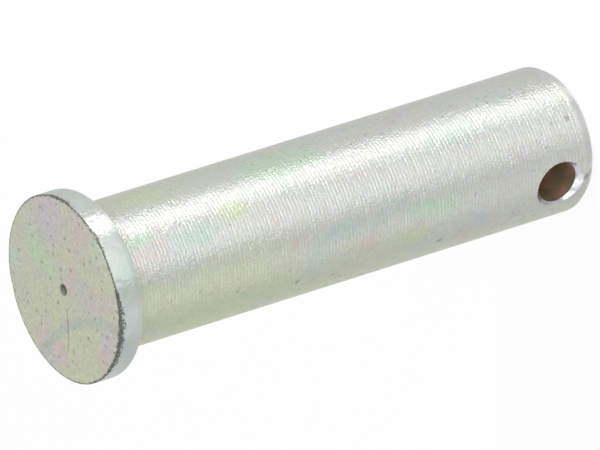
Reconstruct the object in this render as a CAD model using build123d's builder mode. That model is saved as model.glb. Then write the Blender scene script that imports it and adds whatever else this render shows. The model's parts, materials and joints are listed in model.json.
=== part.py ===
"""Clevis pin, 12 mm by 45 mm, turned from one piece of steel bar.

The pin joins a fork to an eye. The shank goes through both, the head stops it on
one side, and a cotter through the cross hole stops it on the other.

Frame: millimetres, +Z up. The pin stands on the flat of its plain end, with the
head on top. The origin is the centre of that flat, Z is the pin's axis, and the
cross hole runs along Y.
"""

import math
import os

from build123d import *

# ---------------------------------------------------------------- driving dimensions

shank_diameter = 12.0
grip_length = 45.0  # from the flat of the plain end to the seat under the head

head_diameter = 15.5
head_thickness = 2.6
head_rim_round = 0.9  # the rim is rounded on the side of the shank
head_face_break = 0.08  # the outer edge of the head is left nearly sharp
neck_fillet = 0.25  # root of the shank, under the head

end_chamfer_length = 0.9  # along the axis
end_chamfer_depth = 0.6  # off the radius
end_chamfer_blend = 0.7  # both edges of the chamfer are tumbled smooth

cotter_hole_diameter = 3.6
cotter_hole_setback = 3.6  # from the flat of the plain end to the middle of the hole
cotter_mouth_diameter = 4.6  # countersink, where it meets the crest of the shank
cotter_mouth_angle = 90.0

centre_mark_diameter = 0.75  # left in the head by the lathe's centre drill
centre_mark_angle = 100.0

# ---------------------------------------------------------------- dependent values

shank_radius = shank_diameter / 2
head_radius = head_diameter / 2
overall_length = grip_length + head_thickness
end_flat_radius = shank_radius - end_chamfer_depth

# The rounded rim leaves a ring of flat seat outside the neck, and some straight rim.
seat_overhang = head_radius - shank_radius - neck_fillet
rim_round = min(head_rim_round, 0.9 * seat_overhang, 0.9 * (head_thickness - head_face_break))

cotter_hole_radius = cotter_hole_diameter / 2
cotter_mouth_radius = cotter_mouth_diameter / 2
cotter_mouth_slope = math.tan(math.radians(cotter_mouth_angle / 2))
cotter_mouth_depth = (cotter_mouth_radius - cotter_hole_radius) / cotter_mouth_slope
cotter_wall_length = shank_diameter - 2 * cotter_mouth_depth

centre_mark_radius = centre_mark_diameter / 2
centre_mark_depth = centre_mark_radius / math.tan(math.radians(centre_mark_angle / 2))

# ---------------------------------------------------------------- the pin

with BuildPart() as clevis_pin:
    # Half of the pin's section, up the axis on the left and round the outside.
    with BuildSketch(Plane.XZ) as section:
        with BuildLine():
            Polyline(
                (0, 0),
                (end_flat_radius, 0),
                (shank_radius, end_chamfer_length),
                (shank_radius, grip_length),
                (head_radius, grip_length),
                (head_radius, overall_length),
                (centre_mark_radius, overall_length),
                (0, overall_length - centre_mark_depth),
                close=True,
            )
        make_face()
        corner_rounds = [
            ((end_flat_radius, 0), end_chamfer_blend),
            ((shank_radius, end_chamfer_length), end_chamfer_blend),
            ((shank_radius, grip_length), neck_fillet),
            ((head_radius, grip_length), rim_round),
        ]
        for corner, radius in corner_rounds:
            fillet(section.vertices().sort_by_distance(corner)[0], radius)
        outer_corner = section.vertices().sort_by_distance((head_radius, overall_length))[0]
        chamfer(outer_corner, head_face_break)
    revolve(axis=Axis.Z)

    # The cotter hole is drilled straight through and countersunk from both sides.
    # Each mouth is cut from a plane that touches the crest of the round shank.
    for side in (-1, 1):
        crest = (0, side * shank_radius, cotter_hole_setback)
        with Locations(Plane(origin=crest, x_dir=(1, 0, 0), z_dir=(0, side, 0))):
            CounterSinkHole(
                radius=cotter_hole_radius,
                counter_sink_radius=cotter_mouth_radius,
                depth=shank_radius,
                counter_sink_angle=cotter_mouth_angle,
            )

clevis_pin.part.label = "clevis_pin"

# ---------------------------------------------------------------- output

os.makedirs("parts", exist_ok=True)
export_step(clevis_pin.part, "parts/clevis_pin.step")

print(f"overall length {overall_length:.2f} mm, head {head_diameter:.2f} mm across")
print(f"flat seat under the head: {seat_overhang - rim_round:.2f} mm wide")
print(f"cotter hole: {cotter_wall_length:.2f} mm of straight wall between its mouths")
print(f"volume {clevis_pin.part.volume:.1f} cubic mm")
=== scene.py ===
# %% [markdown]
# # A zinc plated clevis pin
#
# A clevis pin is a headed pin that joins a fork to an eye. This one is turned from bar, drilled near
# its plain end for a cotter, and zinc plated. Its form is simple, so the looks depend on what the
# tools and the plating bath left behind: the feed marks of the lathe, a ragged edge round the head,
# the bright countersink of the cross hole, and the faint rainbow of the passivation over the zinc.
#
# The measured part is loaded first. It gives the main sizes, and it is never moved or changed. The
# visible skin is drawn a hair smaller, so that it stays inside the measured one.

# %% Load the measured part
import json
import math
from collections import namedtuple

import bmesh
import bpy
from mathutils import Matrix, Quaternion, Vector, noise


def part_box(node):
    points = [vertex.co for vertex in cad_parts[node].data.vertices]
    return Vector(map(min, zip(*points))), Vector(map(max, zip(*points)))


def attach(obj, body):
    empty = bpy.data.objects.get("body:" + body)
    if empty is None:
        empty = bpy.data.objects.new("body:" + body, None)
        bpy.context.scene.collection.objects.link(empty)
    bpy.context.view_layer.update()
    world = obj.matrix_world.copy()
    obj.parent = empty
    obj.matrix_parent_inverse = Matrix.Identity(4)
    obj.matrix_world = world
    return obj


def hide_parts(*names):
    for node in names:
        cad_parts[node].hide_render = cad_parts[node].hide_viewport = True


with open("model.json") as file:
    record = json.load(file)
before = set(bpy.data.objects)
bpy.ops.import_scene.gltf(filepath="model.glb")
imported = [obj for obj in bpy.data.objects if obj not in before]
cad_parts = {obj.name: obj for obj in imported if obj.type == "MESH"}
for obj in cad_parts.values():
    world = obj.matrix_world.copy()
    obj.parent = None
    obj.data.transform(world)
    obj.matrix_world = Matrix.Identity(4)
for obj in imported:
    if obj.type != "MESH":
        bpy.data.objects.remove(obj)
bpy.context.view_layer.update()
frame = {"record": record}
mounts = {mount["name"]: mount for mount in frame["record"]["mounts"]}
lowest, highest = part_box("clevis_pin")

MM = 0.001
skin_inset = 0.004 * MM
overall_length = highest.z - lowest.z
head_radius = highest.x - skin_inset
seat_height = mounts["head_seat"]["pos_m"][2]
shank_radius = mounts["shank"]["dims"]["r_mm"] * MM
hole_height = mounts["cotter_hole"]["pos_m"][2]
hole_radius = mounts["cotter_hole"]["dims"]["r_mm"] * MM
hole_wall = mounts["cotter_hole"]["dims"]["length_mm"] * MM
print(f"pin {overall_length / MM:.2f} mm long, head {2 * head_radius / MM:.2f} mm across")


# %% [markdown]
# ## Camera
#
# A long lens from over a metre away keeps the pin's sides almost parallel, as in a catalogue picture.
# The camera looks down on the head, and it is rolled so that the standing pin lies across the picture.
# It is placed first, because the rest is judged through it.

# %% Camera
view_azimuth = math.radians(40.4)
view_elevation = math.radians(31.1)
view_roll = math.radians(107.4)
view_distance = 1246.0 * MM
aim_height = 25.13 * MM
aim_aside = 0.70 * MM

facing = Vector((math.sin(view_azimuth), -math.cos(view_azimuth), 0.0))
aside = Vector((-math.cos(view_azimuth), -math.sin(view_azimuth), 0.0))
towards_camera = facing * math.cos(view_elevation) + Vector((0, 0, math.sin(view_elevation)))
aim = Vector((0, 0, aim_height)) + aside * aim_aside

camera_data = bpy.data.cameras.new("camera")
camera_data.lens = 943.0
camera_data.sensor_width = 36.0
camera_data.clip_start = 0.05
camera_data.clip_end = 20.0
camera = bpy.data.objects.new("camera", camera_data)
upright_view = towards_camera.to_track_quat("Z", "Y")
camera.rotation_mode = "QUATERNION"
camera.rotation_quaternion = upright_view @ Quaternion((0, 0, 1), -view_roll)
camera.location = aim + towards_camera * view_distance
bpy.context.scene.collection.objects.link(camera)
bpy.context.scene.camera = camera
print(f"camera {view_distance:.2f} m away, lens {camera_data.lens:.0f} mm")


# %% [markdown]
# ## Helpers for turning
#
# A lathe turns a section about an axis, and Blender's Spin does the same in edit mode. The helper
# below draws a section as a chain of points, by extruding one vertex from point to point, and spins
# it about Z. Everything round on the pin is made with it.

# %% Spin a section about Z
MERGE = 0.001 * MM


def select_only(piece):
    """Leaves one object selected and active, in object mode."""
    if bpy.context.object and bpy.context.object.mode != "OBJECT":
        bpy.ops.object.mode_set(mode="OBJECT")
    bpy.ops.object.select_all(action="DESELECT")
    piece.select_set(True)
    bpy.context.view_layer.objects.active = piece


def turned(name, section, segments):
    """Spins a section, a list of (radius, height) points, about Z."""
    radius, height = section[0]
    bpy.ops.object.select_all(action="DESELECT")
    bpy.ops.mesh.primitive_plane_add(size=MM, location=(radius, 0, height))
    piece = bpy.context.object
    piece.name = name
    bpy.ops.object.transform_apply(location=True)
    bpy.ops.object.mode_set(mode="EDIT")
    bpy.ops.mesh.select_mode(type="VERT")
    bpy.ops.mesh.select_all(action="SELECT")
    bpy.ops.mesh.merge(type="CENTER")
    for next_radius, next_height in section[1:]:
        step = (next_radius - radius, 0, next_height - height)
        bpy.ops.mesh.extrude_region_move(TRANSFORM_OT_translate={"value": step})
        radius, height = next_radius, next_height
    bpy.ops.mesh.select_all(action="SELECT")
    bpy.ops.mesh.spin(steps=segments, angle=math.tau, center=(0, 0, 0), axis=(0, 0, 1))
    bpy.ops.mesh.select_all(action="SELECT")
    bpy.ops.mesh.remove_doubles(threshold=MERGE)
    bpy.ops.mesh.normals_make_consistent(inside=False)
    bpy.ops.object.mode_set(mode="OBJECT")
    print(f"{name}: {len(piece.data.vertices)} vertices")
    return piece


def arc(centre, radius, start, end, steps):
    """Points of a round corner of the section, between two angles in degrees."""
    points = []
    for step in range(steps + 1):
        angle = math.radians(start + (end - start) * step / steps)
        points.append((centre[0] + radius * math.cos(angle), centre[1] + radius * math.sin(angle)))
    return points


print(f"points closer than {MERGE / MM:.3f} mm are merged")


# %% [markdown]
# ## Head
#
# The head is a plain disc. Its rim is rounded on the side of the shank, and its outer edge is left
# sharp. The section runs from the root of the shank, over the flat seat and the rounded rim, to the
# sharp edge, and in over the flat face to the small pit at its centre. The rings are close together
# at the outer edge, because that edge is torn in the next cell.

# %% Head
HEAD_SEGMENTS = 384
neck_fillet = 0.25 * MM
rim_round = 0.9 * MM
edge_break = 0.08 * MM
pit_radius = 0.40 * MM
pit_depth = 0.26 * MM

head_section = arc((shank_radius + neck_fillet, seat_height - neck_fillet), neck_fillet, 180, 90, 4)
rim_centre = (head_radius - rim_round, seat_height + rim_round)
head_section += arc(rim_centre, rim_round, -90, 0, 12)
rim_top = overall_length - edge_break
rim_bottom = seat_height + rim_round
rim_rings = (0.3, 0.55, 0.75, 0.9, 1)
head_section += [(head_radius, rim_bottom + (rim_top - rim_bottom) * share) for share in rim_rings]
head_section += [(head_radius - edge_break / 2, overall_length - edge_break / 4)]
face_rings = (0.14, 0.25, 0.4, 0.6, 0.9, 1.3, 1.9, 2.6, 3.4, 4.3, 5.2, 6.0, 6.6)
head_section += [(head_radius - ring * MM, overall_length) for ring in face_rings]
pit_rings = ((1.5, 0.0), (1.0, 0.0), (0.8, 0.35), (0.5, 0.8), (0.2, 1.0), (0.0, 1.05))
for share, depth in pit_rings:
    head_section.append((pit_radius * share, overall_length - pit_depth * depth))
head = turned("head", head_section, HEAD_SEGMENTS)

# %% [markdown]
# The outer edge of the head is torn, and unevenly so. Points near it are moved in and down by a
# smooth noise: a little all the way round, and more at a few places. A place has its turn in degrees
# from the camera's side, the degrees that it spreads to each side, the cosine at which its dark
# stain begins, and how bad it is, up to 1. The finishes further down stain the same places.

# %% Tear the outer edge
Tear = namedtuple("Tear", "turn spread stain worst")
TORN_PLACES = (
    Tear(40, 35, 0.8, 1.0), Tear(-65, 15, 0.97, 0.5),
    Tear(-20, 10, 0.98, 0.3), Tear(190, 6, 0.995, 0.5),
)
tear_reach = 0.45 * MM
tear_everywhere = 0.020 * MM
tear_at_worst = 0.11 * MM
tear_scale = 2300.0
drop_stretch = 1.3
flank = 1.5


def torn_share(turn):
    """How badly the edge is torn at a turn in degrees: 0 is hardly, 1 is worst."""
    share = 0.0
    for tear in TORN_PLACES:
        away = abs((turn - tear.turn + 180) % 360 - 180)
        share = max(share, tear.worst * min(max(flank * (1 - away / tear.spread), 0), 1))
    return share


moved = 0
for vertex in head.data.vertices:
    x, y, z = vertex.co
    out = math.hypot(x, y)
    if out < head_radius - tear_reach or z < overall_length - tear_reach:
        continue
    closeness = (1 - (head_radius - out) / tear_reach) * (1 - (overall_length - z) / tear_reach)
    turn = math.degrees(math.atan2(vertex.co.dot(aside), vertex.co.dot(facing)))
    depth = tear_everywhere + tear_at_worst * torn_share(turn)
    bite = 0.5 + 0.5 * noise.noise(vertex.co * tear_scale)
    drop = 0.5 + 0.5 * noise.noise(vertex.co * tear_scale * drop_stretch)
    new_out = out - depth * bite * closeness
    vertex.co = (x * new_out / out, y * new_out / out, z - depth * drop * closeness)
    moved += 1
print(f"{moved} points of the edge moved")

# %% [markdown]
# ## Shank
#
# The turning tool moves along the bar a third of a millimetre at each turn, and leaves a shallow
# hollow the width of that step. One hollow is modelled, and an Array modifier repeats it along the
# shank. Real geometry is used rather than a bump texture, because these marks break up the
# reflections, and so they have to stay with the mesh wherever it goes. The section is a parabola.

# %% Feed marks
SHANK_SEGMENTS = 128
feed = 0.33 * MM
mark_depth = 0.024 * MM
end_chamfer_length = 0.9 * MM
end_chamfer_depth = 0.6 * MM
clear_of_chamfer = 0.35 * MM
clear_of_neck = 0.25 * MM
marks_start = end_chamfer_length + clear_of_chamfer
marks_end = seat_height - neck_fillet - clear_of_neck
mark_count = int((marks_end - marks_start) / feed)

mark_section = []
for share in (0.0, 0.25, 0.5, 0.75, 1.0):
    hollow = 4 * share * (1 - share) * mark_depth
    mark_section.append((shank_radius - hollow, marks_start + share * feed))
shank = turned("shank", mark_section, SHANK_SEGMENTS)
repeat = shank.modifiers.new("repeat", "ARRAY")
repeat.count = mark_count
repeat.use_relative_offset = False
repeat.use_constant_offset = True
repeat.constant_offset_displace = (0, 0, feed)
repeat.use_merge_vertices = True
repeat.merge_threshold = MERGE
select_only(shank)
bpy.ops.object.modifier_apply(modifier="repeat")
print(f"{mark_count} feed marks, {len(shank.data.polygons)} faces")

# %% [markdown]
# A real tool chatters, and the bar gives a little, so no mark is as deep all the way round. Each
# point of a hollow is moved by a smooth noise that is longer round the pin than along it. The
# crests stay where they are, so the shank keeps its diameter.

# %% Uneven marks
AROUND = 1500.0
ALONG = 2600.0
swing = 1.3
shallowest, deepest = 0.25, 1.9
for vertex in shank.data.vertices:
    x, y, z = vertex.co
    out = math.hypot(x, y)
    unevenness = noise.noise(Vector((x * AROUND, y * AROUND, z * ALONG)))
    share = min(max(1.0 + swing * unevenness, shallowest), deepest)
    new_out = shank_radius - (shank_radius - out) * share
    vertex.co = (x * new_out / out, y * new_out / out, z)
print(f"marks {mark_depth / MM:.3f} mm deep, times {shallowest} to {deepest}")

# %% [markdown]
# ## Plain end
#
# The end is flat and chamfered, and both edges of the chamfer are rounded. The pin stands on this
# face.

# %% Plain end
end_round = 0.7 * MM
slant = math.atan2(end_chamfer_depth, end_chamfer_length)
shoulder_run = end_round * math.tan(slant / 2)
toe_run = end_round * math.tan((math.pi / 2 - slant) / 2)
shoulder_centre = (shank_radius - end_round, end_chamfer_length + shoulder_run)
toe_centre = (shank_radius - end_chamfer_depth - toe_run, end_round)
end_section = [(0.0, 0.0)]
end_section += [(toe_centre[0] * share, 0.0) for share in (0.2, 0.5, 0.75, 0.92)]
end_section += arc(toe_centre, end_round, -90, -math.degrees(slant), 6)
end_section += arc(shoulder_centre, end_round, -math.degrees(slant), 0, 4)
end_section.append((shank_radius, marks_start))
plain_end = turned("plain_end", end_section, SHANK_SEGMENTS)

# %% [markdown]
# ## One skin
#
# The pin is one piece of steel, so its parts are joined into one skin. The shank has fewer segments
# than the head, and Bridge Edge Loops closes the narrow ring between them.

# %% Join and close
select_only(shank)
head.select_set(True)
plain_end.select_set(True)
bpy.ops.object.join()
pin = shank
pin.name = "pin_skin"
pin.data.name = "pin_skin"


def select_open_edges():
    """Selects the edges that only one face uses."""
    bpy.ops.mesh.select_all(action="DESELECT")
    bpy.ops.mesh.select_mode(type="EDGE")
    bpy.ops.mesh.select_non_manifold(
        extend=False, use_wire=False, use_boundary=True, use_multi_face=False,
        use_non_contiguous=False, use_verts=False,
    )


bpy.ops.object.mode_set(mode="EDIT")
bpy.ops.mesh.select_all(action="SELECT")
bpy.ops.mesh.remove_doubles(threshold=MERGE)
select_open_edges()
bpy.ops.mesh.bridge_edge_loops()
bpy.ops.mesh.select_all(action="SELECT")
bpy.ops.mesh.normals_make_consistent(inside=False)
bpy.ops.object.mode_set(mode="OBJECT")


def open_edges(piece):
    """Counts the edges that don't have exactly two faces."""
    skin = bmesh.new()
    skin.from_mesh(piece.data)
    count = sum(1 for edge in skin.edges if len(edge.link_faces) != 2)
    skin.free()
    return count


print(f"skin: {len(pin.data.polygons)} faces, {open_edges(pin)} open edges")

# %% [markdown]
# ## Cotter hole
#
# The hole is drilled straight across and countersunk from both sides. The drill and both
# countersinks are turned as one cutter, laid along Y at the height of the hole, and taken away with
# a Boolean. Where a cone meets a cylinder the mouth is wide along the pin and narrow across it,
# which gives the bright crescent at the end of the hole's mouth nearest the plain end.

# %% Drill and countersink
CUTTER_SEGMENTS = 96
half_wall = hole_wall / 2
overshoot = 1.0 * MM
reach = shank_radius + overshoot
countersink_reach = hole_radius + (reach - half_wall)
cutter_section = [(0.0, -reach), (countersink_reach, -reach), (hole_radius, -half_wall)]
cutter_section += [(hole_radius, half_wall * share) for share in (-0.5, 0.0, 0.5, 1.0)]
cutter_section += [(countersink_reach, reach), (0.0, reach)]
cutter = turned("cutter", cutter_section, CUTTER_SEGMENTS)
cutter.rotation_euler = (math.radians(90), 0, 0)
cutter.location = (0, 0, hole_height)
select_only(cutter)
bpy.ops.object.transform_apply(location=True, rotation=True, scale=True)

drill = pin.modifiers.new("drill", "BOOLEAN")
drill.operation = "DIFFERENCE"
drill.solver = "EXACT"
drill.object = cutter
select_only(pin)
bpy.ops.object.modifier_apply(modifier="drill")
bpy.data.objects.remove(cutter)
print(f"drilled: {len(pin.data.polygons)} faces, {open_edges(pin)} open edges")


# %% [markdown]
# ## Shader maths in Python
#
# The finishes are worked out from place: how far a point is from the axis, from an edge, or along the
# pin. Such sums need many Math nodes, so a socket is wrapped in a small class whose operators add
# those nodes. A mask then reads as one line of Python. Any other node comes from its node() method.

# %% A socket that can be calculated with
class Value:
    """A socket of a material's node tree. Arithmetic on it adds Math nodes."""

    def __init__(self, tree, socket):
        self.tree = tree
        self.socket = socket

    def plug(self, target, item):
        """Links a Value to an input, or sets a plain number or colour on it."""
        if isinstance(item, Value):
            self.tree.links.new(item.socket, target)
        else:
            target.default_value = item

    def node(self, kind, settings=None, inputs=None, output=0):
        """Adds any node: its settings first, then its inputs. Returns one of its outputs."""
        node = self.tree.nodes.new(kind)
        for name, setting in (settings or {}).items():
            setattr(node, name, setting)
        for name, item in (inputs or {}).items():
            self.plug(node.inputs[name], item)
        return Value(self.tree, node.outputs[output]) if node.outputs else None

    def math(self, operation, first, second=0.0):
        """Adds a Math node. The operators below all come here."""
        return self.node("ShaderNodeMath", {"operation": operation}, {0: first, 1: second})

    def __add__(self, other):
        return self.math("ADD", self, other)

    def __radd__(self, other):
        return self.math("ADD", other, self)

    def __sub__(self, other):
        return self.math("SUBTRACT", self, other)

    def __rsub__(self, other):
        return self.math("SUBTRACT", other, self)

    def __mul__(self, other):
        return self.math("MULTIPLY", self, other)

    def __rmul__(self, other):
        return self.math("MULTIPLY", other, self)

    def __truediv__(self, other):
        return self.math("DIVIDE", self, other)

    def __rtruediv__(self, other):
        return self.math("DIVIDE", other, self)

    def size(self):
        """This number without its sign."""
        return self.math("ABSOLUTE", self)

    def rise(self, low, high):
        """0 below low, 1 above high, and a smooth step between. low may be the larger."""
        inputs = {"Value": self, "From Min": low, "From Max": high}
        settings = {"interpolation_type": "SMOOTHSTEP", "clamp": True}
        return self.node("ShaderNodeMapRange", settings, inputs)

    def tint(self, other, amount):
        """Mixes this colour towards another by an amount from 0 to 1."""
        inputs = {0: amount, 6: self, 7: other}
        settings = {"data_type": "RGBA", "clamp_factor": True}
        return self.node("ShaderNodeMix", settings, inputs, output=2)

    def times(self, other):
        """Multiplies two colours."""
        settings = {"data_type": "RGBA", "blend_type": "MULTIPLY"}
        return self.node("ShaderNodeMix", settings, {0: 1.0, 6: self, 7: other}, output=2)

    def plain(self, colour):
        """A colour that is the same all over, ready to be tinted."""
        return self.node("ShaderNodeMix", {"data_type": "RGBA"}, {0: 0.0, 6: colour}, output=2)

    def vector(self, operation, other=(0, 0, 0), scale=1.0, output=0):
        """Vector arithmetic. Output 1 is the number that LENGTH and DOT_PRODUCT give."""
        settings = {"operation": operation}
        return self.node("ShaderNodeVectorMath", settings, {0: self, 1: other, 3: scale}, output)

    def noise(self, scale, detail=2.0, roughness=0.5, output=0):
        """Noise read at this position. Output 1 is its colour, three noises in one."""
        inputs = {"Vector": self, "Scale": scale, "Detail": detail, "Roughness": roughness}
        return self.node("ShaderNodeTexNoise", None, inputs, output)

    def cells(self, scale, flat=False):
        """Scattered points: how far away the nearest one is, and a random number of its own."""
        settings = {"voronoi_dimensions": "2D" if flat else "3D"}
        inputs = {"Vector": self, "Scale": scale}
        away = self.node("ShaderNodeTexVoronoi", settings, inputs)
        colour = self.node("ShaderNodeTexVoronoi", settings, inputs, output=1)
        return away, colour.node("ShaderNodeSeparateColor", None, {0: colour})

    def bump(self, distance):
        """This height as a bump of the surface."""
        inputs = {"Strength": 1.0, "Distance": distance, "Height": self}
        return self.node("ShaderNodeBump", None, inputs)

    def mapped(self, scale=(1, 1, 1), location=(0, 0, 0)):
        """This position, scaled and moved."""
        inputs = {"Vector": self, "Scale": scale, "Location": location}
        return self.node("ShaderNodeMapping", None, inputs)


ROUND_THE_PIN = 0.25


class Shader:
    """The Principled shader of a metal finish. Its gloss can be drawn out round the pin."""

    def __init__(self, tree, anisotropic):
        self.tree = tree
        self.inputs = tree.nodes["Principled BSDF"].inputs
        self.inputs["Metallic"].default_value = 1.0
        self.inputs["Anisotropic"].default_value = anisotropic
        self.inputs["Anisotropic Rotation"].default_value = ROUND_THE_PIN

    def plug(self, name, item):
        """Links a Value to one of the shader's inputs, or sets a number on it."""
        Value(self.tree, None).plug(self.inputs[name], item)


def new_finish(name, anisotropic=0.0):
    """A new metal: the material, its shader, and the place in the object to calculate with."""
    material = bpy.data.materials.new(name)
    material.use_nodes = True
    tree = material.node_tree
    coordinates = tree.nodes.new("ShaderNodeTexCoord")
    return material, Shader(tree, anisotropic), Value(tree, coordinates.outputs["Object"])


print("sockets take + - * / and the named methods of Value")

# %% [markdown]
# ## Zinc and its passivation
#
# Zinc plating is often passivated, which leaves a very thin film over it. Its colour changes with its
# thickness: straw, pink, lilac, blue green. The film is uneven and lies in soft patches. Each patch
# is an oval, given by where it lies on the pin and how far it reaches, and one noise makes all their
# edges wander. The helpers below say where a patch is, and how far a point is along or from the axis.

# %% Patches of the film
ZINC = (0.53, 0.54, 0.52, 1)
STRAW = (0.52, 0.56, 0.42, 1)
GREEN = (0.46, 0.58, 0.46, 1)
SEA = (0.43, 0.53, 0.48, 1)
OLIVE = (0.49, 0.51, 0.39, 1)
GREY = (0.47, 0.46, 0.45, 1)
PINK = (0.53, 0.45, 0.44, 1)
LILAC = (0.50, 0.46, 0.48, 1)
MOSS = (0.44, 0.54, 0.40, 1)
SLATE = (0.41, 0.45, 0.40, 1)
DARK = (0.08, 0.08, 0.07, 1)


def on_shank(turn, height):
    """A point of the shank, by its turn in degrees from the camera's side and its height in mm."""
    level = facing * math.cos(math.radians(turn)) + aside * math.sin(math.radians(turn))
    return level * shank_radius + Vector((0, 0, height * MM))


def on_face(near, across):
    """A point of the head's face, in mm towards the camera's side and across it."""
    return facing * near * MM + aside * across * MM + Vector((0, 0, overall_length))


def wandering(place, scale, reach):
    """The place moved about by noise, so that what is drawn with it gets an uneven edge."""
    shift = place.noise(scale, detail=3.0, output=1).vector("SUBTRACT", (0.5, 0.5, 0.5))
    return place.vector("ADD", shift.vector("SCALE", scale=reach))


def patch(place, centre, across, along):
    """1 in the middle of an oval patch, and 0 outside it. Its reaches are in mm."""
    stretch = (1 / (across * MM), 1 / (across * MM), 1 / (along * MM))
    away = place.vector("SUBTRACT", centre).vector("MULTIPLY", stretch)
    return away.vector("LENGTH", output=1).rise(1.15, 0.35)


def along_axis(place, direction):
    """How far a place is in one direction."""
    return place.vector("DOT_PRODUCT", direction, output=1)


def from_axis(place):
    """How far a place is from the pin's axis."""
    return place.vector("MULTIPLY", (1, 1, 0)).vector("LENGTH", output=1)


def blotched(colour, place, scale, roughness, darkest, lightest):
    """A colour with fine lighter and darker blotches, from one brightness to another."""
    blotch = place.noise(scale, detail=4.0, roughness=roughness)
    dark, light = (darkest, darkest, darkest, 1), (lightest, lightest, lightest, 1)
    return colour.times(place.plain(dark).tint(light, blotch))


example = on_shank(0, 20) / MM
print(f"a patch at turn 0 and height 20 mm lies at x {example.x:.1f}, y {example.y:.1f} mm")

# %% [markdown]
# ## Zinc on turned steel
#
# The shank is mostly clear zinc, with a straw tint on its lower side near the head, and clouds of
# pink and blue green. A row of the first list is a patch: turn in degrees, height in mm, reach round
# and along the pin in mm, tint and strength. A row of the second is a dark dent: turn, height, reach.

# %% The shank
SHANK_PATCHES = [
    (-50, 28, 2, 5, GREEN, 0.9), (-60, 40, 2, 4, STRAW, 0.7),
    (-20, 43, 1, 2, GREEN, 0.8), (-5, 42, 1, 2, PINK, 0.5),
    (-10, 38, 1, 3, SEA, 0.9), (-20, 34, 1, 2, STRAW, 0.9),
    (20, 24, 1, 5, SEA, 0.6), (25, 16, 1, 4, GREEN, 0.9),
    (15, 20, 1, 2, SEA, 0.5), (45, 18, 1, 2, STRAW, 0.9),
    (35, 23, 1, 2, PINK, 0.3), (25, 43, 1, 2, STRAW, 0.8),
    (-20, 12, 1, 5, SEA, 0.3), (120, 30, 3, 7, GREEN, 0.7),
    (165, 14, 2, 6, PINK, 0.4), (205, 36, 2, 6, SEA, 0.7),
    (250, 18, 2, 7, STRAW, 0.7),
]


def shank_film(place):
    """The colour of the zinc on the shank."""
    side = along_axis(place, aside) / shank_radius
    height = along_axis(place, (0, 0, 1))
    near_head = height.rise(14 * MM, 40 * MM)
    drained = side.rise(-0.05, 0.35) * (near_head * 0.75 + side.rise(0.3, 1.0) * 0.5)
    drained = drained + side.rise(-0.55, -0.95) * (near_head * 0.45 + 0.05)
    soft = wandering(wandering(place, 420.0, 2.4 * MM), 1500.0, 0.9 * MM)
    clouds = soft.mapped(scale=(1, 1, 0.45)).noise(420.0, detail=3.0)
    puffs = soft.mapped(scale=(1, 1, 0.6), location=(0.05, 0, 0)).noise(700.0, detail=3.0)
    colour = place.plain(ZINC).tint(STRAW, drained + (clouds - 0.5) * 1.2)
    colour = colour.tint(PINK, puffs.rise(0.52, 0.75) * 0.5)
    colour = colour.tint(SEA, clouds.rise(0.46, 0.26) * 0.55)
    for turn, height_mm, across, along, tint, strength in SHANK_PATCHES:
        colour = colour.tint(tint, patch(soft, on_shank(turn, height_mm), across, along) * strength)
    return colour


KNOCKS = [
    (25, 12, 0.2), (60, 15, 0.3), (55, 8, 0.2), (55, 29, 0.3), (-10, 2, 0.3), (-50, 5, 0.2),
    (40, 1, 0.4), (50, 3, 0.5), (45, 35, 0.2), (140, 22, 0.3), (230, 9, 0.3),
]


def knocks(place):
    """Small dark dents, given by turn, height and size, where the pin was knocked about."""
    jagged = wandering(place, 5000.0, 0.7 * MM)
    total = 0.0
    for turn, height, reach in KNOCKS:
        total = patch(jagged, on_shank(turn, height), reach, reach) + total
    return total


def turned_zinc():
    """The shank and the plain end. The gloss is drawn out, as fine turning marks draw it."""
    material, shader, place = new_finish("turned_zinc", anisotropic=0.96)
    colour = shank_film(place)
    dents = knocks(place)
    colour = blotched(colour, place, scale=3200.0, roughness=0.8, darkest=0.78, lightest=1.22)
    speck, size = wandering(place, 6000.0, 0.4 * MM).cells(1500.0)
    specks = (speck - (size - 0.82) * 0.8).rise(0.14, 0.0)
    colour = colour.tint(DARK, specks * 0.28).tint(DARK, dents * 0.4)
    shader.plug("Base Color", colour)
    shader.plug("Roughness", 0.40 + (place.noise(1500.0, detail=3.0) - 0.5) * 0.16)
    grain = place.mapped(scale=(1, 1, 0.75)).noise(5600.0, detail=2.0, roughness=0.6)
    grain_height = 0.047 * MM
    shader.plug("Normal", (grain - dents * 0.8).bump(grain_height))
    return material


print(f"{len(SHANK_PATCHES)} patches and {len(KNOCKS)} knocks on the shank")

# %% [markdown]
# ## Zinc on the rim and the seat
#
# The rim is smoother and bluer than the shank. The torn edge of the head shows as a dark, ragged line.
# The same line is drawn on the rim and on the flat of the head, which meet there.

# %% The rim
RIM_BRIGHT = (0.545, 0.57, 0.54, 1)
RIM_BLUE = (0.47, 0.53, 0.50, 1)


def edge_line(place, inward, width, roughened):
    """The torn outer edge of the head: a ragged line that widens where the edge is roughened."""
    ragged = (place.noise(4200.0, detail=4.0, roughness=0.8) - 0.5) * 4.5
    reach = width
    for tear in TORN_PLACES:
        turned_part = along_axis(place, on_shank(tear.turn, 0).normalized()) / from_axis(place)
        full = 0.8 + 0.2 * tear.stain
        reach = turned_part.rise(tear.stain, full) * (roughened * tear.worst) + reach
    return (inward / reach + ragged).rise(1.4, 0.5)


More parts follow.
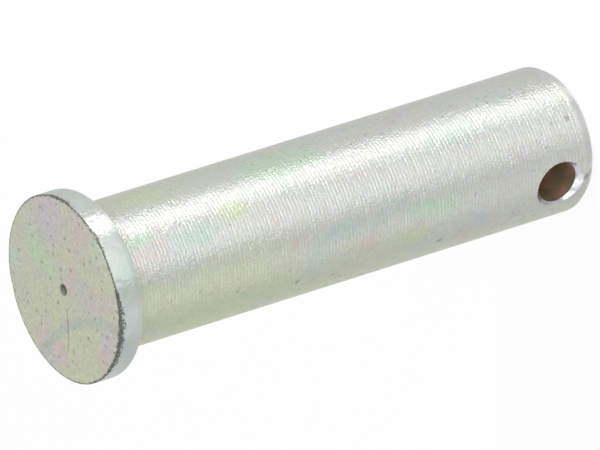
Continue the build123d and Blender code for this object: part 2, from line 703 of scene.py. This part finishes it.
def rim_zinc():
    """The rim and the seat, smoother than the shank."""
    material, shader, place = new_finish("rim_zinc", anisotropic=0.96)
    clouds = place.noise(260.0, detail=3.0)
    colour = place.plain(RIM_BRIGHT).tint(RIM_BLUE, clouds.rise(0.35, 0.65))
    colour = blotched(colour, place, scale=1400.0, roughness=0.6, darkest=0.92, lightest=1.07)
    height = along_axis(place, (0, 0, 1))
    torn = edge_line(place, overall_length - height, 0.09 * MM, 0.34 * MM)
    colour = colour.tint(DARK, torn * 0.75)
    shader.plug("Base Color", colour)
    shader.plug("Roughness", torn * 0.2 + 0.43)
    grain = place.noise(2000.0, detail=3.0, roughness=0.55)
    grain_height = 0.055 * MM
    shader.plug("Normal", (grain - torn * 1.2).bump(grain_height))
    return material


print(f"{len(TORN_PLACES)} torn places on the edge")

# %% [markdown]
# ## Zinc on the flat of the head
#
# The flat is duller and more olive, with pits and one thin scratch. A row of these lists is a patch:
# mm towards the camera's side, mm across it, reach in mm, tint and strength. The second list lies
# below the tide mark, a curved line where the film changes.

# %% The flat of the head
FACE_PATCHES = [
    (1, -6, 3, LILAC, 0.9), (-2, -4, 2, MOSS, 0.9), (-1, -2, 1.5, MOSS, 0.6),
    (0, -5, 2, GREY, 0.7), (5, -4, 2, PINK, 0.6), (3, -3, 1.5, PINK, 0.5),
    (2, -1, 1, PINK, 0.8), (1, 0, 1, PINK, 0.7), (3, 1, 2, GREY, 0.8),
    (7, -2, 1.5, GREEN, 0.6), (-5, 3, 1.5, PINK, 0.8), (5, 2, 1.5, PINK, 0.4),
    (-6, -4, 1.5, SEA, 0.5), (-3, -2, 1, GREY, 0.4),
]
LOWER_PATCHES = [
    (-3.5, 4.5, 1.5, PINK, 1.0), (3, 6, 1.5, PINK, 0.9), (4, 5, 1.5, LILAC, 0.8),
    (-5, 4.5, 1.5, GREY, 0.8), (5.5, 5, 1, GREY, 0.8),
]


def face_film(place):
    """The colour of the zinc on the flat of the head."""
    soft = wandering(place, 450.0, 1.6 * MM)
    clouds = soft.noise(420.0, detail=3.0)
    colour = place.plain(OLIVE).tint(GREY, clouds.rise(0.40, 0.75) * 0.7)
    for near, across, reach, tint, strength in FACE_PATCHES:
        colour = colour.tint(tint, patch(soft, on_face(near, across), reach, reach) * strength)
    near = along_axis(soft, facing)
    across = along_axis(soft, aside)
    tide_bend, tide_height = 0.04 / MM, 2.8 * MM
    tide = across - near * near * tide_bend - tide_height
    colour = colour.tint(OLIVE, tide.rise(0.2 * MM, 0.6 * MM))
    for near_mm, across_mm, reach, tint, strength in LOWER_PATCHES:
        colour = colour.tint(tint, patch(soft, on_face(near_mm, across_mm), reach, reach) * strength)
    return colour.tint(SLATE, tide.size().rise(0.75 * MM, 0.25 * MM) * 0.85)


def scratch(place, start, end, width):
    """A thin scratch between two places on the face."""
    run = end - start
    side = Vector((-run.y, run.x, 0)).normalized()
    offset = place.vector("SUBTRACT", start)
    beside = along_axis(offset, side).size()
    progress = along_axis(offset, run.normalized())
    inside = progress.rise(-0.1 * MM, 0.2 * MM) * progress.rise(run.length, run.length - 0.6 * MM)
    return beside.rise(width, width * 0.4) * inside


def faced_zinc():
    """The flat of the head, dull and pitted."""
    material, shader, place = new_finish("faced_zinc")
    colour = face_film(place)
    colour = blotched(colour, place, scale=3000.0, roughness=0.8, darkest=0.62, lightest=1.38)
    uneven = wandering(place, 5000.0, 0.35 * MM)
    cell, size = uneven.cells(1300.0, flat=True)
    pits = (cell - (size - 0.66) * 0.42).rise(0.16, 0.0)
    out = from_axis(place)
    torn = edge_line(place, head_radius - out, 0.15 * MM, 0.06 * MM)
    jagged = wandering(place, 1100.0, 0.5 * MM)
    scratch_start, scratch_end = on_face(-0.2, 1.4), on_face(-2.2, 4.9)
    line = scratch(jagged, scratch_start, scratch_end, 0.09 * MM)
    colour = colour.tint(DARK, pits * 0.34).tint(DARK, line * 0.38).tint(DARK, torn * 0.8)
    # The centre pit is painted dark, nearly black: painted shade in its hollow.
    colour = colour.tint(DARK, out.rise(0.60 * MM, 0.36 * MM) * 0.9)
    shader.plug("Base Color", colour)
    shader.plug("Roughness", 0.52 + (place.noise(1200.0, detail=3.0) - 0.5) * 0.1)
    relief = place.noise(2600.0, detail=4.0) - pits * 0.8 - torn * 1.2
    relief_height = 0.022 * MM
    shader.plug("Normal", relief.bump(relief_height))
    return material


print(f"{len(FACE_PATCHES) + len(LOWER_PATCHES)} patches on the flat of the head")

# %% [markdown]
# ## Inside the drilled hole
#
# The wall of the hole is stained brown and red, and the countersink is a smooth bright cone.

# %% The hole
WALL_BROWN = (0.36, 0.33, 0.20, 1)
WALL_RED = (0.62, 0.36, 0.30, 1)
CONE_DARK = (0.34, 0.34, 0.37, 1)
CONE_BRIGHT = (0.60, 0.58, 0.63, 1)


def drilled_steel():
    """The wall of the hole."""
    material, shader, place = new_finish("drilled_steel")
    stain = place.noise(500.0, detail=3.0)
    colour = place.plain(WALL_BROWN).tint(WALL_RED, stain.rise(0.4, 0.65))
    shader.plug("Base Color", colour)
    shader.plug("Roughness", 0.62)
    return material


def countersunk_zinc():
    """The cone of the countersink, cut smooth."""
    material, shader, place = new_finish("countersunk_zinc")
    sheen = place.noise(1300.0, detail=3.0)
    colour = place.plain(CONE_DARK).tint(CONE_BRIGHT, sheen.rise(0.35, 0.6))
    colour = colour.tint(DARK, knocks(place) * 0.8)
    shader.plug("Base Color", colour)
    shader.plug("Roughness", 0.34)
    sheen_height = 0.05 * MM
    shader.plug("Normal", sheen.bump(sheen_height))
    return material


print(f"hole wall {hole_wall / MM:.2f} mm long between its countersinks")

# %% [markdown]
# ## Give each face its finish
#
# The skin is one mesh with five materials. Which one a face gets follows from where it is and which
# way it points. Edges sharper than the smoothing angle stay crisp.

# %% Five finishes on one skin
SMOOTHING_ANGLE = 28
HAIR = 0.01 * MM
finishes = {
    "turned": turned_zinc(), "rim": rim_zinc(), "faced": faced_zinc(),
    "drilled": drilled_steel(), "countersunk": countersunk_zinc(),
}
pin.data.materials.clear()
for finish in finishes.values():
    pin.data.materials.append(finish)


def finish_of(centre, normal):
    """Names the finish of a face of the skin, from where it is and which way it points."""
    out = math.hypot(centre.x, centre.y)
    from_hole = math.hypot(centre.x, centre.z - hole_height)
    in_pit = out < 1.6 * pit_radius
    faces_up = normal.z > 0.7
    below_marks = out < shank_radius - 1.5 * mark_depth
    if in_pit and normal.z > 0:
        return "faced"
    if centre.z > seat_height - MERGE:
        return "faced" if faces_up and centre.z > rim_top else "rim"
    if from_hole > countersink_reach or centre.z < HAIR:
        return "turned"
    if from_hole < hole_radius * 1.02 and abs(centre.y) < half_wall:
        return "drilled"
    if abs(centre.y) > half_wall - HAIR and below_marks:
        squarely_out = (normal.x * centre.x + normal.y * centre.y) / out > 0.9
        return "turned" if squarely_out else "countersunk"
    return "turned"


order = list(finishes)
counts = dict.fromkeys(order, 0)
for face in pin.data.polygons:
    finish = finish_of(face.center, face.normal)
    face.material_index = order.index(finish)
    counts[finish] += 1
print(f"faces by finish: {counts}")
select_only(pin)
bpy.ops.object.shade_smooth_by_angle(angle=math.radians(SMOOTHING_ANGLE))
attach(pin, "root")
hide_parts("clevis_pin")

# %% [markdown]
# ## Studio
#
# The pin stands on a white table in a white room. Metal shows what is round it, so the camera's rays
# and the mirror rays see the same white. The table is partly a plain matt surface, so that it keeps
# the pin's soft shadow.

# %% Table and room
CAMERA_RAY, GLOSSY_RAY, TRANSMISSION_RAY = 0, 3, 6
glow_to_camera = 0.92
room_light = 0.6


def empty_tree(owner):
    """The node tree of a material or world, emptied, as a Value to build from."""
    owner.use_nodes = True
    owner.node_tree.nodes.clear()
    return Value(owner.node_tree, None)


def looked_at(start, camera_share):
    """1 for rays that look at a surface: from a mirror, through glass, or, in a share, the camera."""
    seen = start.node("ShaderNodeLightPath", output=CAMERA_RAY)
    mirrored = start.node("ShaderNodeLightPath", output=GLOSSY_RAY)
    through = start.node("ShaderNodeLightPath", output=TRANSMISSION_RAY)
    direct = seen.math("MAXIMUM", seen * camera_share, mirrored)
    return seen.math("MAXIMUM", direct, through)


bpy.ops.object.select_all(action="DESELECT")
bpy.ops.mesh.primitive_plane_add(size=4.0, location=(0, 0, 0))
table = bpy.context.object
table.name = "table"
surface = bpy.data.materials.new("white_table")
start = empty_tree(surface)
direct = looked_at(start, glow_to_camera)
matt = start.node("ShaderNodeBsdfDiffuse", None, {"Color": (0.8, 0.8, 0.8, 1)})
glow = start.node("ShaderNodeEmission", None, {"Color": (1, 1, 1, 1), "Strength": 1.0})
mixed = start.node("ShaderNodeMixShader", None, {0: direct, 1: matt, 2: glow})
start.node("ShaderNodeOutputMaterial", None, {0: mixed})
table.data.materials.append(surface)

world = bpy.data.worlds.new("white_room")
bpy.context.scene.world = world
start = empty_tree(world)
brightness = room_light + looked_at(start, 1.0) * (1 - room_light)
glow = start.node("ShaderNodeBackground", None, {"Color": (1, 1, 1, 1), "Strength": brightness})
start.node("ShaderNodeOutputWorld", None, {0: glow})
print(f"white room at strength {room_light} for the light it gives, and 1 where it is looked at")

# %% [markdown]
# ## Lamps
#
# Tall soft boxes draw the bright bands along the shank. The key gives the brightest one, the front
# lamp the wide one beside it, and the other two lift the sides. Sizes are in metres, power in watts.

# %% Four soft boxes
def lamp(name, azimuth, elevation, distance, width, height, power):
    """A tall soft box. Its azimuth is counted from the camera's, to the right as the pin stands."""
    turn = math.radians(azimuth)
    lift = math.radians(elevation)
    level = facing * math.cos(turn) - aside * math.sin(turn)
    direction = level * math.cos(lift) + Vector((0, 0, math.sin(lift)))
    light = bpy.data.lights.new(name, "AREA")
    light.shape = "RECTANGLE"
    light.size = width
    light.size_y = height
    light.energy = power
    holder = bpy.data.objects.new(name, light)
    holder.location = Vector((0, 0, overall_length / 2)) + direction * distance
    holder.rotation_mode = "QUATERNION"
    holder.rotation_quaternion = direction.to_track_quat("Z", "Y")
    bpy.context.scene.collection.objects.link(holder)
    print(f"{name}: {power} W at {azimuth:.1f} degrees")


lamp("key", azimuth=59.5, elevation=25.0, distance=0.5, width=0.12, height=0.40, power=1.8)
lamp("front", azimuth=11.0, elevation=25.0, distance=0.5, width=0.42, height=0.40, power=1.45)
lamp("fill", azimuth=-57.0, elevation=30.0, distance=0.6, width=0.42, height=0.40, power=0.72)
lamp("edge", azimuth=102.0, elevation=30.0, distance=0.5, width=0.26, height=0.40, power=0.35)

# %% [markdown]
# ## Finish
#
# The plain view transform keeps white as white.

# %% Finish
bpy.context.scene.view_settings.view_transform = "Standard"
